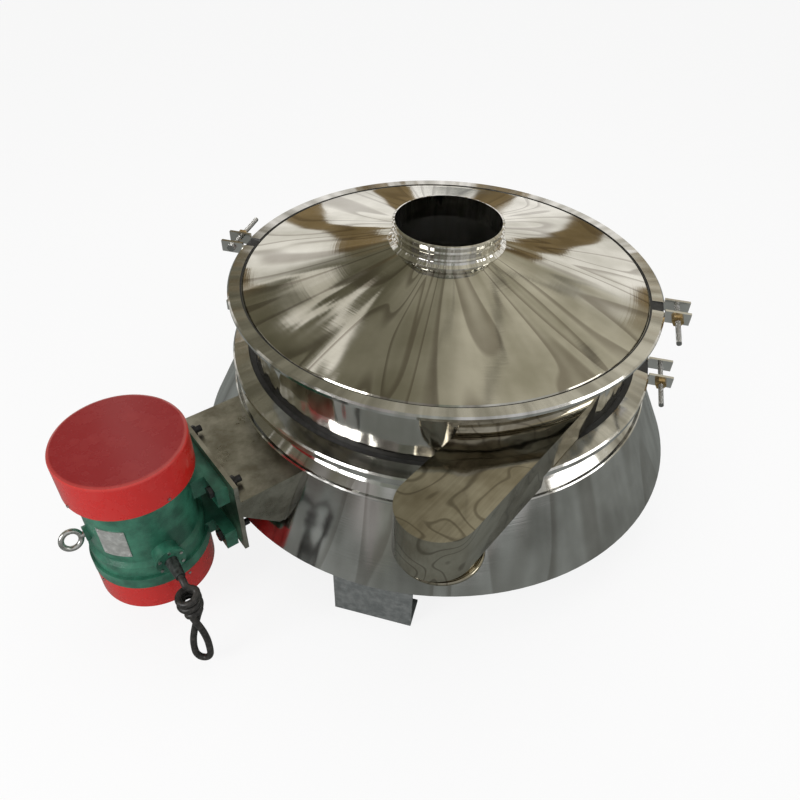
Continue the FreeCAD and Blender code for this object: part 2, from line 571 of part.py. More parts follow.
# ---------------------------------------------------------------------------------------------
# Motor bracket, welded to the skirt
# ---------------------------------------------------------------------------------------------
envelope = turned("skirt_envelope", [
    ("0", "skirt_foot - 60"), (f"skirt_radius + 60 * {skirt_slope}", "skirt_foot - 60"),
    ("edge_radius", edge_level), ("edge_radius", f"{edge_level} + 20"), ("0", f"{edge_level} + 20")])
plate_back = "plate_face - plate_thick"
deck_level = f"({edge_level} + deck_lift)"
cheek_top = f"{deck_level} - deck_thick"
bracket_root = "edge_radius - 60"
deck = block("deck", (bracket_root, plate_back), ("-deck_far", "deck_near"), (cheek_top, deck_level))
cheek_outline = [
    (bracket_root, cheek_top), (plate_back, cheek_top), (plate_back, f"{cheek_top} - cheek_nose"),
    ("skirt_radius - cheek_nose", "cheek_foot"), (bracket_root, "cheek_foot")]
far_cheek = extruded("far_cheek", "XZ_Plane", cheek_outline, "deck_thick", "deck_far - deck_thick")
near_cheek = extruded("near_cheek", "XZ_Plane", cheek_outline, "deck_thick", "-deck_near")
bracket_blank = fused("bracket_blank", deck, far_cheek, near_cheek)
node(place(cut("motor_bracket", bracket_blank, envelope), angle="motor_angle"))


def motor_bolts(make):
    """One piece at each of the four motor bolts."""
    spots = [(side, level) for side in (-1, 1) for level in ("motor_bolt_upper", "motor_bolt_lower")]
    return [make(index, f"{side} * motor_bolt_lateral", level) for index, (side, level) in enumerate(spots)]


def bolt_rod(name, radius, length, start, hexed=False):
    def make(index, lateral, level):
        return (hexagon if hexed else rod)(f"{name}_{index}", radius, length, (start, lateral, level), (1, 0, 0))
    return motor_bolts(make)


plate = block("plate_blank", (plate_back, "plate_face"), ("-plate_half", "plate_half"),
              ("plate_foot", "plate_top"))
plate_holes = bolt_rod("plate_hole", "motor_bolt + motor_bolt_play", "plate_thick + 2", f"{plate_back} - 1")
node(place(cut("motor_plate", plate, *plate_holes), angle="motor_angle"))
pad_face = "plate_face + pad_thick"
nut_foot = f"{plate_back} - washer_thick - motor_nut_tall"
heads = bolt_rod("motor_head", "motor_hex", "motor_head_tall", pad_face, True)
shanks = bolt_rod("motor_shank", "motor_bolt",
                  "pad_thick + plate_thick + washer_thick + motor_nut_tall + motor_bolt_tail",
                  f"{nut_foot} - motor_bolt_tail")
bolts = [fused(f"motor_bolt_{i}", *pair) for i, pair in enumerate(zip(heads, shanks))]
node(place(group("motor_bolts", bolts), angle="motor_angle"))
hexes = bolt_rod("motor_nut_hex", "motor_hex", "motor_nut_tall", nut_foot, True)
bores = bolt_rod("motor_nut_bore", "motor_bolt", "motor_nut_tall", nut_foot)
node(place(group("motor_nuts", [cut(f"motor_nut_{i}", *pair) for i, pair in enumerate(zip(hexes, bores))]),
           angle="motor_angle"))
rings = bolt_rod("washer_ring", "washer_radius", "washer_thick", f"{plate_back} - washer_thick")
bores = bolt_rod("washer_bore", "motor_bolt", "washer_thick", f"{plate_back} - washer_thick")
node(place(group("motor_washers", [cut(f"washer_{i}", *pair) for i, pair in enumerate(zip(rings, bores))]),
           angle="motor_angle"))

# ---------------------------------------------------------------------------------------------
# Vibration motor: cast frame, end shields, stator, rotor and eccentric weights
# ---------------------------------------------------------------------------------------------


def at_motor(thing):
    return place(thing, angle="motor_angle", reach="motor_reach")


barrel = turned("motor_barrel", [
    ("motor_bore", "rim_foot"), ("rim_radius", "rim_foot"), ("rim_radius", "rim_top"),
    ("cast_radius", "rim_top"), ("cast_radius", "cast_top - 10"), ("body_radius", "cast_top"),
    ("body_radius", "body_top - 8"), ("body_radius + 6", "body_top - 4"), ("body_radius + 6", "body_top"),
    ("motor_bore", "body_top")])
pads = []
webs = []
pad_x = ("plate_face - motor_reach", "plate_face + pad_thick - motor_reach")
for name, level, web_foot in (("upper", "pad_upper", "pad_upper - pad_tall / 2"),
                              ("lower", "pad_lower", "rim_foot")):
    span = (f"{level} - pad_tall / 2", f"{level} + pad_tall / 2")
    pads.append(block(f"{name}_pad", pad_x, ("-pad_half", "pad_half"), span))
    webs.append(block(f"{name}_web", (pad_x[1], "-motor_bore - 4"), ("-web_half", "web_half"),
                      (web_foot, span[1])))
rib = block("motor_rib", (pad_x[1], "-motor_bore - 4"), ("-pad_thick / 4", "pad_thick / 4"),
            ("pad_lower", "pad_upper"))
boss = rod("gland_boss", "gland_boss_radius", "gland_out - gland_plate_thick - motor_bore - 4",
           ("(motor_bore + 4) * cos(gland_angle)", "(motor_bore + 4) * sin(gland_angle)", "gland_level"),
           (math.cos(math.radians(SIZES["gland_angle"])), math.sin(math.radians(SIZES["gland_angle"])), 0))
eye_seat = "eye_out - eye_ring - eye_wire - 1"
eye_boss = rod("eye_boss", "boss_radius", f"{eye_seat} - motor_bore - 4",
               ("motor_bore + 4", "0", "eye_level"), (1, 0, 0))
pad_holes = []
for side in (-1, 1):
    for level in ("motor_bolt_upper", "motor_bolt_lower"):
        pad_holes.append(rod(f"pad_hole_{len(pad_holes)}", "motor_bolt + motor_bolt_play", "pad_thick + 2",
                             (f"{pad_x[0]} - 1", f"{side} * motor_bolt_lateral", level), (1, 0, 0)))
frame_blank = fused("motor_frame_blank", barrel, rib, boss, eye_boss, *pads, *webs)
node(at_motor(cut("motor_frame", frame_blank, *pad_holes)))

shield_top_foot = "body_top - shield_thick"
shield_low_top = "rim_foot + shield_thick"
bearing_top = "body_top - bearing_inset"
bearing_low = "rim_foot + bearing_inset"
node(at_motor(turned("top_end_shield", [
    ("bearing_radius", shield_top_foot), ("bearing_radius + 12", shield_top_foot),
    ("bearing_radius + 12", "body_top - 12"), ("motor_bore", "body_top - 12"), ("motor_bore", "body_top"),
    ("bearing_radius - 5", "body_top"), ("bearing_radius - 5", bearing_top), ("bearing_radius", bearing_top)])))
node(at_motor(turned("bottom_end_shield", [
    ("bearing_radius", shield_low_top), ("bearing_radius + 12", shield_low_top),
    ("bearing_radius + 12", "rim_foot + 12"), ("motor_bore", "rim_foot + 12"), ("motor_bore", "rim_foot"),
    ("bearing_radius - 5", "rim_foot"), ("bearing_radius - 5", bearing_low), ("bearing_radius", bearing_low)])))
rotor_bore = "rotor_radius + air_gap"
node(at_motor(turned("stator_core", [
    (rotor_bore, "stator_foot"), ("stator_radius", "stator_foot"), ("stator_radius", "stator_top"),
    (rotor_bore, "stator_top")])))
windings = []
for name, foot in (("upper", "stator_top"), ("lower", "stator_foot - winding_tall")):
    coil = rod(f"{name}_coil_blank", "winding_radius", "winding_tall", ("0", "0", foot))
    windings.append(cut(f"{name}_coil", coil, rod(f"{name}_coil_bore", f"{rotor_bore} + 6", "winding_tall",
                                                  ("0", "0", foot))))
node(at_motor(group("stator_windings", windings)))

bearing_feet = (("upper", f"{bearing_top} - bearing_tall"), ("lower", bearing_low))


def washer(name, outer_radius, inner_radius, tall, foot):
    return cut(name, rod(name + "_blank", outer_radius, tall, ("0", "0", foot)),
               rod(name + "_bore", inner_radius, tall, ("0", "0", foot)))


node(at_motor(group("bearing_outer_races", [
    washer(f"{name}_outer_race", "bearing_radius", "bearing_radius - race", "bearing_tall", foot)
    for name, foot in bearing_feet])))
node(at_motor(group("bearing_inner_races", [
    washer(f"{name}_inner_race", "shaft_radius + race", "shaft_radius", "bearing_tall", foot)
    for name, foot in bearing_feet])))
roller = "((bearing_radius - 2 * race - shaft_radius) / 2 - roller_play)"
roller_reach = "((bearing_radius + shaft_radius) / 2)"
ROLLER_COUNT = 10
rollers = []
for name, foot in bearing_feet:
    for index in range(ROLLER_COUNT):
        turn = 360 * index / ROLLER_COUNT
        rollers.append(rod(f"{name}_roller_{index}", roller, "bearing_tall - 4", (
            f"{roller_reach} * cos({turn})", f"{roller_reach} * sin({turn})", f"{foot} + 2")))
node(at_motor(group("bearing_rollers", rollers)))
shaft = rod("shaft_bar", "shaft_radius", "shaft_top - shaft_foot", ("0", "0", "shaft_foot"))
node(at_motor(group("rotor_shaft", [shaft])))
node(at_motor(washer("rotor_core", "rotor_radius", "shaft_radius", "stator_top - stator_foot", "stator_foot")))


def half_weight(name, foot, bore):
    """An eccentric: a hub with a heavy half disc on its -Y side."""
    disc = common(name + "_disc", rod(name + "_round", "weight_radius", "weight_thick", ("0", "0", foot)),
                  block(name + "_half", ("-weight_radius", "weight_radius"), ("-weight_radius", "0"),
                        (foot, f"{foot} + weight_thick")))
    hub = rod(name + "_hub", "hub_radius", "weight_thick", ("0", "0", foot))
    hole = rod(name + "_bore", bore, "weight_thick", ("0", "0", foot))
    return cut(name, fused(name + "_blank", disc, hub), hole)


upper_fixed_foot = "body_top + weight_lift"
lower_fixed_foot = "rim_foot - weight_lift - weight_thick"
node(at_motor(group("fixed_weights", [
    half_weight("upper_fixed_weight", upper_fixed_foot, "shaft_radius"),
    half_weight("lower_fixed_weight", lower_fixed_foot, "shaft_radius")])))
node(at_motor(half_weight("upper_turning_weight", f"{upper_fixed_foot} + weight_thick + weight_play",
                          "shaft_radius + bore_play")))
node(at_motor(half_weight("lower_turning_weight", f"{lower_fixed_foot} - weight_thick - weight_play",
                          "shaft_radius + bore_play")))

node(at_motor(turned("top_cover", [
    ("cover_radius", "body_top"), ("cover_radius", "motor_top - 6"), ("cover_radius - 2", "motor_top - 2"),
    ("cover_radius - 7", "motor_top"), ("0", "motor_top"), ("0", "motor_top - cover_wall"),
    ("cover_radius - 8", "motor_top - cover_wall"), ("cover_radius - cover_wall", "motor_top - 8"),
    ("cover_radius - cover_wall", "body_top + cover_wall"), ("motor_bore + 8", "body_top + cover_wall"),
    ("motor_bore + 8", "body_top")])))
node(at_motor(turned("bottom_cover", [
    ("low_cover_radius", "rim_foot"), ("low_cover_radius", "motor_foot + 6"),
    ("low_cover_radius - 6", "motor_foot"), ("0", "motor_foot"), ("0", "motor_foot + cover_wall"),
    ("low_cover_radius - 7", "motor_foot + cover_wall"), ("low_cover_radius - cover_wall", "motor_foot + 8"),
    ("low_cover_radius - cover_wall", "rim_foot - cover_wall"), ("motor_bore + 8", "rim_foot - cover_wall"),
    ("motor_bore + 8", "rim_foot")])))

eye_wheel = doc.addObject("Part::Torus", "eye_wheel")
bind(eye_wheel, Radius1="eye_ring", Radius2="eye_wire")
lay(eye_wheel, ("eye_out", "0", "eye_level"), (0.0, 0.94, 0.34))
stem = rod("eye_stem", "eye_wire + 1", "eye_wire + 2", (eye_seat, "0", "eye_level"), (1, 0, 0))
node(at_motor(fused("eye_bolt", eye_wheel, stem)))

gland_turn = math.radians(SIZES["gland_angle"])
gland_axis = (math.cos(gland_turn), math.sin(gland_turn), 0)


def gland_spot(out, lateral=0.0, lift=0.0):
    side = f"({lateral})"
    return (f"({out}) * cos(gland_angle) - {side} * sin(gland_angle)",
            f"({out}) * sin(gland_angle) + {side} * cos(gland_angle)", f"gland_level + ({lift})")


gland_disc = rod("gland_disc", "gland_plate_radius", "gland_plate_thick",
                 gland_spot("gland_out - gland_plate_thick"), gland_axis)
node(at_motor(group("gland_cover", [gland_disc])))
GLAND_SCREWS = 6
screws = []
for index in range(GLAND_SCREWS):
    turn = 360 * (index + 0.5) / GLAND_SCREWS
    screws.append(rod(f"gland_screw_{index}", "screw_radius", "screw_head", gland_spot(
        "gland_out", f"(gland_plate_radius - 6) * cos({turn})", f"(gland_plate_radius - 6) * sin({turn})"),
        gland_axis))
for name, radius, level in (("top", "cover_radius", "body_top + screw_drop"),
                            ("bottom", "low_cover_radius", "rim_foot - screw_drop")):
    for turn in (0, 90, 180, 270):
        heading = math.radians(SIZES["cover_screw_angle"] + turn)
        screws.append(rod(f"{name}_cover_screw_{turn}", "screw_radius", "screw_head + 0.5", (
            f"({radius} - 0.5) * cos(cover_screw_angle + {turn})",
            f"({radius} - 0.5) * sin(cover_screw_angle + {turn})", level),
            (math.cos(heading), math.sin(heading), 0)))
screw_seats = fused("screw_seats", rod("top_screw_seat", "cover_radius", "2 * screw_drop", ("0", "0", "body_top")),
                    rod("bottom_screw_seat", "low_cover_radius", "2 * screw_drop",
                        ("0", "0", "rim_foot - 2 * screw_drop")))
node(at_motor(group("cover_screws", [
    cut(f"screw_{index}", screw, screw_seats) for index, screw in enumerate(screws)])))
nozzle = doc.addObject("Part::Cone", "gland_nozzle")
bind(nozzle, Radius1="nozzle_big", Radius2="nozzle_small", Height="nozzle_long")
lay(nozzle, gland_spot("gland_out"), gland_axis)
node(at_motor(group("cable_gland", [nozzle])))

# ---------------------------------------------------------------------------------------------
# Cord: out of the gland into a knot, and from the knot round a hanging loop and back into it
# ---------------------------------------------------------------------------------------------
LEAD = [(-516.9, -707.78, 274), (-507.97, -718.47, 274), (-502.03, -726.62, 264.24)]
LOOP = [(-508.5, -737.5, 197), (-497.7, -741, 165), (-485, -744, 133), (-479, -746, 98),
        (-478.5, -748, 64), (-480, -750, 41), (-489, -751, 29), (-503, -751, 29), (-512.5, -750, 41),
        (-514, -748, 66), (-511.5, -744, 98), (-504, -734, 132), (-495, -722, 163), (-483.5, -726, 195)]
KNOT = (-499, -736, 234)


def tube(label, points, radius):
    """A round tube along straight runs joined by tangent arcs."""
    spots = [FreeCAD.Vector(*point) for point in points]
    edges = []
    start = spots[0]
    for before, corner, after in zip(spots, spots[1:], spots[2:]):
        back, ahead = before - corner, after - corner
        half_turn = (math.pi - back.getAngle(ahead)) / 2
        trim = 0.45 * min(back.Length, ahead.Length)
        print(f"{label} corner radius {trim / math.tan(half_turn):.1f} mm")
        back.normalize()
        ahead.normalize()
        enter, leave = corner + back * trim, corner + ahead * trim
        inward = back + ahead
        inward.normalize()
        arc_radius = trim / math.tan(half_turn)
        middle = corner + inward * (arc_radius / math.cos(half_turn) - arc_radius)
        edges += [Part.makeLine(start, enter), Part.Arc(enter, middle, leave).toShape()]
        start = leave
    edges.append(Part.makeLine(start, spots[-1]))
    path = Part.Wire(edges)
    ring = Part.Wire(Part.makeCircle(radius, spots[0], spots[1] - spots[0]))
    solid = path.makePipeShell([ring], True, False)
    expected = math.pi * radius ** 2 * path.Length
    print(f"{label}: {path.Length:.0f} mm long, volume {solid.Volume / expected:.3f} of section x length")
    thing = doc.addObject("Part::Feature", label)
    thing.Shape = solid
    return thing


lead = tube("cord_lead", LEAD, number("cord_radius"))
loop = tube("cord_loop", LOOP, number("cord_radius"))
node(group("power_cord", [lead, loop]))
knot_turns = [rod("knot_core", "knot_core", "2 * knot_half", (KNOT[0], KNOT[1], f"{KNOT[2]} - knot_half"))]
for lift, lean in ((22, 0.3), (1, -0.25), (-20, 0.35)):
    turn = doc.addObject("Part::Torus", f"knot_turn_{len(knot_turns)}")
    bind(turn, Radius1="knot_reach", Radius2="cord_radius + 1")
    knot_turns.append(lay(turn, (KNOT[0], KNOT[1], KNOT[2] + lift), (lean, 0.2, 1)))
node(cut("cord_hank", fused("knot_blank", *knot_turns), lead, loop))

doc.recompute()


def check_document():
    """Every object is up to date, and every piece is a valid shape with a volume."""
    bad = [item.Label for item in doc.Objects if {"Invalid", "Error"} & set(item.State)]
    if bad:
        raise SystemExit(f"objects that failed: {bad}")
    for label, thing in parts.items():
        shape = thing.Shape
        if shape.isNull() or not shape.isValid() or not shape.Solids:
            raise SystemExit(f"not a valid solid: {label}")


check_document()
os.makedirs("parts", exist_ok=True)
for label, thing in parts.items():
    thing.Shape.exportStep(f"parts/{label}.step")
    print(f"{label}: {len(thing.Shape.Solids)} solid(s), {thing.Shape.Volume / 1000:.1f} cm3")
print(len(parts), "nodes")
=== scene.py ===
import math

import bmesh
import bpy
from mathutils import Matrix, Vector


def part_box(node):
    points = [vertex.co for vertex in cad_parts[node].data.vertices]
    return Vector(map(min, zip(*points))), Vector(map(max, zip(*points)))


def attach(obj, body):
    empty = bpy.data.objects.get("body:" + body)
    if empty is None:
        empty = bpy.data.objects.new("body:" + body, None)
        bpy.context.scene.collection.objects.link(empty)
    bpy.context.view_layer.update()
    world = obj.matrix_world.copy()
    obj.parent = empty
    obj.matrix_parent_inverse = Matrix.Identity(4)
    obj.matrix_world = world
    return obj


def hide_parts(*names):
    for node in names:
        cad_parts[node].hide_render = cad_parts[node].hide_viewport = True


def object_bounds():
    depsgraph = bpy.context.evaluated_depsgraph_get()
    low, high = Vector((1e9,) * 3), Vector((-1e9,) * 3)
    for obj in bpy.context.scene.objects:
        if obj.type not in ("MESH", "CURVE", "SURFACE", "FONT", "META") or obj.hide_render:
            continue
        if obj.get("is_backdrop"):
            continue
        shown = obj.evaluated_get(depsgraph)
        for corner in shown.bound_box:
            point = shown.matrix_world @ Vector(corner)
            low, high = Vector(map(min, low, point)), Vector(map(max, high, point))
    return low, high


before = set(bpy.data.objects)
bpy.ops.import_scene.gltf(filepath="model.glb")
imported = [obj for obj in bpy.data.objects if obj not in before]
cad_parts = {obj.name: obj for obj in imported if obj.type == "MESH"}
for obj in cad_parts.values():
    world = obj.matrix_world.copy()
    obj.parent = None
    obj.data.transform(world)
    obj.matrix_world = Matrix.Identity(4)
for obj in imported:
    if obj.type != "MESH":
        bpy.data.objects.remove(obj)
cad_box = [list(corner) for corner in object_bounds()]

# Camera: it looks down on the machine from the discharge side, about 42 degrees below
# the horizon and very slightly rolled, with a moderately wide lens.
camera_data = bpy.data.cameras.new("view")
camera_data.sensor_width = 36
camera_data.lens = 31.65
camera_data.clip_start = 0.05
camera_data.clip_end = 60
camera = bpy.data.objects.new("view", camera_data)
bpy.context.scene.collection.objects.link(camera)
yaw = math.radians(-2.113)
dip = math.radians(41.683)
roll = math.radians(1.787)
forward = Vector((math.sin(yaw) * math.cos(dip), math.cos(yaw) * math.cos(dip), -math.sin(dip)))
level_right = Vector((math.cos(yaw), -math.sin(yaw), 0))
level_up = level_right.cross(forward)
right = math.cos(roll) * level_right + math.sin(roll) * level_up
up = math.cos(roll) * level_up - math.sin(roll) * level_right
stance = Matrix((right, up, -forward)).transposed().to_4x4()
camera.matrix_world = Matrix.Translation((-0.0452, -1.5240, 1.5242)) @ stance
bpy.context.scene.camera = camera
bpy.context.scene.view_settings.view_transform = "Standard"


class Wire:
    """An output socket of a node tree that takes part in sums: each sum is one Math node."""

    def __init__(self, tree, socket):
        self.tree = tree
        self.socket = socket

    def math(self, operation, *others, clamp=False):
        node = self.tree.nodes.new("ShaderNodeMath")
        node.operation = operation
        node.use_clamp = clamp
        for slot, value in enumerate((self,) + others):
            plug(self.tree, value, node.inputs[slot])
        return Wire(self.tree, node.outputs[0])

    def __add__(self, other):
        return self.math("ADD", other)

    def __sub__(self, other):
        return self.math("SUBTRACT", other)

    def __mul__(self, other):
        return self.math("MULTIPLY", other)

    __radd__ = __add__
    __rmul__ = __mul__

    def __rsub__(self, other):
        return self * -1 + other

    def __truediv__(self, other):
        return self.math("DIVIDE", other)

    def __pow__(self, other):
        return self.math("POWER", other)

    def between(self, low, high):
        """0 below low, 1 above high, and smooth from one to the other."""
        return self.node("ShaderNodeMapRange", self, low, high, interpolation_type="SMOOTHSTEP")

    def shades(self, *stops):
        """A colour ramp: each stop is a position and a colour."""
        node = self.tree.nodes.new("ShaderNodeValToRGB")
        plug(self.tree, self, node.inputs[0])
        ramp = node.color_ramp
        while len(ramp.elements) < len(stops):
            ramp.elements.new(0.5)
        for element, (position, colour) in zip(ramp.elements, sorted(stops)):
            element.position = position
            element.color = (*colour, 1)
        return Wire(self.tree, node.outputs[0])

    def node(self, kind, *values, output=0, **settings):
        return make(self.tree, kind, *values, output=output, **settings)


def plug(tree, value, socket):
    if isinstance(value, Wire):
        tree.links.new(value.socket, socket)
    elif value is not None:
        socket.default_value = (*value, 1) if isinstance(value, tuple) and socket.type == "RGBA" else value


def make(tree, kind, *values, output=0, **settings):
    """Any node: values go to its inputs in order, settings to its own properties or named inputs."""
    node = tree.nodes.new(kind)
    for name, value in settings.items():
        if hasattr(node, name):
            setattr(node, name, value)
        else:
            plug(tree, value, node.inputs[name.replace("_", " ")])
    for slot, value in enumerate(values):
        plug(tree, value, node.inputs[slot])
    return Wire(tree, node.outputs[output])


class Finish:
    """A Principled material with the coordinates that its patterns are drawn in."""

    def __init__(self, name, **fixed):
        self.material = bpy.data.materials.new(name)
        self.material.use_nodes = True
        self.tree = self.material.node_tree
        self.shader = self.tree.nodes["Principled BSDF"]
        for socket, value in fixed.items():
            self.set(socket, value)
        place = make(self.tree, "ShaderNodeTexCoord", output=3)
        self.place = place
        self.x = place.node("ShaderNodeSeparateXYZ", place, output=0)
        self.y = place.node("ShaderNodeSeparateXYZ", place, output=1)
        self.z = place.node("ShaderNodeSeparateXYZ", place, output=2)

    def set(self, socket, value):
        plug(self.tree, value, self.shader.inputs[socket.replace("_", " ")])

    def around(self, centre=(0.0, 0.0)):
        """Radius from a vertical axis, and the two parts of the unit vector away from it."""
        out_x = self.x - centre[0]
        out_y = self.y - centre[1]
        radius = (out_x * out_x + out_y * out_y + 1e-8) ** 0.5
        return radius, out_x / radius, out_y / radius

    def vector(self, x, y, z):
        return make(self.tree, "ShaderNodeCombineXYZ", x, y, z)

    def noise(self, vector, scale, detail=2.0, rough=0.5, distortion=0.0):
        return make(self.tree, "ShaderNodeTexNoise", Vector=vector, Scale=scale, Detail=detail,
                    Roughness=rough, Distortion=distortion)

    def mix(self, factor, first, second):
        node = self.tree.nodes.new("ShaderNodeMix")
        node.data_type = "RGBA"
        plug(self.tree, factor, node.inputs[0])
        plug(self.tree, first, node.inputs[6])
        plug(self.tree, second, node.inputs[7])
        return Wire(self.tree, node.outputs[2])

    def bump(self, height, depth, strength=1.0):
        bent = make(self.tree, "ShaderNodeBump", Height=height, Distance=depth, Strength=strength)
        self.set("Normal", bent)

    def wear(self, nodes):
        for name in nodes:
            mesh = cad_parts[name].data
            mesh.materials.clear()
            mesh.materials.append(self.material)


# Cord: it leaves the gland into a knot of nearly three turns, hangs from it in one loop and
# runs back up into the middle of the knot, where its bare end stays.
cord_lead = [(-0.5169, -0.70778, 0.274), (-0.50797, -0.71847, 0.274), (-0.50203, -0.72662, 0.26424)]
knot_centre = (-0.499, -0.736)
knot_reach = 0.0225
knot_top = 0.258
knot_drop = 0.0035
cord_knot = []
for step in range(15):
    turn = math.radians(30 - 60 * step)
    sway = 0.004 * math.sin(turn)
    knot_x = knot_centre[0] + knot_reach * math.cos(turn)
    knot_y = knot_centre[1] + knot_reach * math.sin(turn)
    cord_knot.append((knot_x, knot_y, knot_top - knot_drop * step + sway))
cord_loop = [
    (-0.5085, -0.7375, 0.197), (-0.4977, -0.741, 0.165), (-0.485, -0.744, 0.133), (-0.479, -0.746, 0.098),
    (-0.4785, -0.748, 0.064), (-0.480, -0.750, 0.041), (-0.489, -0.751, 0.029), (-0.503, -0.751, 0.029),
    (-0.5125, -0.750, 0.041), (-0.514, -0.748, 0.066), (-0.5115, -0.744, 0.098), (-0.504, -0.734, 0.132),
    (-0.495, -0.722, 0.163), (-0.4835, -0.726, 0.195)]
cord_end = [(-0.494, -0.734, 0.206), (-0.499, -0.7365, 0.224)]
cord_points = cord_lead + cord_knot + cord_loop + cord_end
cord_curve = bpy.data.curves.new("cord_line", "CURVE")
cord_curve.dimensions = "3D"
cord_curve.bevel_depth = 0.0075
cord_curve.bevel_resolution = 6
cord_curve.resolution_u = 10
cord_curve.use_fill_caps = True
spline = cord_curve.splines.new("NURBS")
spline.points.add(len(cord_points) - 1)
for spot, point in zip(spline.points, cord_points):
    spot.co = (*point, 1)
spline.order_u = 3
spline.use_endpoint_u = True
cord = bpy.data.objects.new("hanging_cord", cord_curve)
bpy.context.scene.collection.objects.link(cord)
rubber = Finish("cord rubber", Roughness=0.42)
scuff = rubber.noise(rubber.place, 90.0, 4.0, 0.6)
rubber.set("Base Color", rubber.mix(scuff.between(0.35, 0.75), (0.012, 0.011, 0.010), (0.050, 0.045, 0.040)))
rubber.set("Roughness", scuff.between(0.2, 0.9) * 0.25 + 0.32)
rubber.bump(scuff, 0.0004, 0.5)
cord_curve.materials.append(rubber.material)
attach(cord, "sieve")
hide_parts("power_cord", "cord_hank")

# Studio: a pale floor that shows to the camera as near white and keeps a soft shadow, and
# a white world. Metal sees a darker floor and a hall of grey-olive walls with bright windows.
world = bpy.data.worlds.new("studio")
bpy.context.scene.world = world
world.use_nodes = True
tree = world.node_tree
backdrop = tree.nodes["Background"]
camera_ray = make(tree, "ShaderNodeLightPath", output=0)
plug(tree, camera_ray * 0.45 + 0.55, backdrop.inputs["Strength"])
backdrop.inputs["Color"].default_value = (1, 1, 1, 1)

floor_mesh = bpy.data.meshes.new("floor")
floor_mesh.from_pydata([(-12, -12, 0), (12, -12, 0), (12, 12, 0), (-12, 12, 0)], [], [(0, 1, 2, 3)])
floor = bpy.data.objects.new("floor", floor_mesh)
floor.location.z = -0.0005
bpy.context.scene.collection.objects.link(floor)
ground = Finish("floor", Roughness=0.9, Base_Color=(0.85, 0.85, 0.85))
glow = make(ground.tree, "ShaderNodeEmission", Color=(1.0, 1.0, 1.0), Strength=1.0)
dim = make(ground.tree, "ShaderNodeEmission", Color=(0.10, 0.115, 0.10), Strength=1.0)
seen = make(ground.tree, "ShaderNodeLightPath", output=0)
mirrored = make(ground.tree, "ShaderNodeLightPath", output=3)
matt = Wire(ground.tree, ground.shader.outputs[0])
pale = make(ground.tree, "ShaderNodeMixShader", seen * 0.86, matt, glow)
both = make(ground.tree, "ShaderNodeMixShader", mirrored * 0.8, pale, dim)
ground.tree.links.new(both.socket, ground.tree.nodes["Material Output"].inputs["Surface"])
floor_mesh.materials.append(ground.material)
floor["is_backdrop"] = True

hall_mesh = bpy.data.meshes.new("hall")
shape = bmesh.new()
bmesh.ops.create_uvsphere(shape, u_segments=48, v_segments=24, radius=9)
shape.to_mesh(hall_mesh)
shape.free()
hall = bpy.data.objects.new("hall", hall_mesh)
bpy.context.scene.collection.objects.link(hall)
hall.visible_camera = False
hall.visible_diffuse = False
hall.visible_shadow = False
hall.visible_transmission = False
hall.visible_volume_scatter = False
walls = Finish("hall")
length = (walls.x * walls.x + walls.y * walls.y + walls.z * walls.z) ** 0.5
side, depth, lift = walls.x / length, walls.y / length, walls.z / length
wobble = walls.noise(walls.vector(side, depth, lift), 5.0, 2.0)
roof = side.between(-0.35, 0.30)
colour = walls.mix(roof, (0.16, 0.15, 0.105), (0.56, 0.53, 0.43))
beams = (side * 5.0 + lift * 3.0 + wobble * 1.4).math("FRACT")
stripe = beams.between(0.44, 0.50) * beams.between(0.62, 0.56)
colour = walls.mix(stripe * roof * 0.55, colour, (0.10, 0.09, 0.075))
skylight = (side * 2.3 - lift * 1.1 + wobble).math("FRACT")
bright = skylight.between(0.70, 0.76) * skylight.between(0.90, 0.84)
left = side.between(0.05, -0.12)
colour = walls.mix(bright * left, colour, (0.95, 0.92, 0.86))
wall_band = lift.between(0.62, 0.42) * depth.between(0.25, 0.65)
panes = (side * 4.5 + wobble * 0.5).math("FRACT")
window = walls.mix(panes.between(0.62, 0.68), (1.0, 0.98, 0.94), (0.22, 0.16, 0.08))
colour = walls.mix(wall_band, colour, window)
front = depth.between(-0.15, -0.55)
haze = (wobble * 1.2 + side * 0.9 + 0.2).shades((0.25, (0.13, 0.12, 0.11)), (0.5, (0.36, 0.34, 0.33)),
                                                (0.72, (0.22, 0.24, 0.20)), (0.9, (0.55, 0.55, 0.55)))
colour = walls.mix(front, colour, haze)
edge = lift.between(-0.02, -0.10)
colour = walls.mix(edge, colour, (0.07, 0.11, 0.085))
shine = make(walls.tree, "ShaderNodeEmission", Color=colour, Strength=1.0)
walls.tree.links.new(shine.socket, walls.tree.nodes["Material Output"].inputs["Surface"])
hall_mesh.materials.append(walls.material)
hall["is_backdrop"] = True

# Lamps: a large soft one overhead, one from the front left and a weaker one from the right.
lamps = (
    ("overhead", (0.3, 0.4, 3.2), 2.4, 22),
    ("front_left", (-2.4, -2.4, 1.9), 1.4, 44),
    ("right", (2.8, -0.8, 1.8), 1.2, 16))
for name, spot, size, power in lamps:
    lamp_data = bpy.data.lights.new(name, "AREA")
    lamp_data.size = size
    lamp_data.energy = power
    lamp = bpy.data.objects.new(name, lamp_data)
    bpy.context.scene.collection.objects.link(lamp)
    lamp.location = spot
    lamp.rotation_euler = (Vector((0, 0, 0.3)) - lamp.location).to_track_quat("-Z", "Y").to_euler()
    lamp.visible_glossy = name != "overhead"

motor_low, motor_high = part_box("rotor_shaft")
motor_axis = ((motor_low[0] + motor_high[0]) / 2, (motor_low[1] + motor_high[1]) / 2)


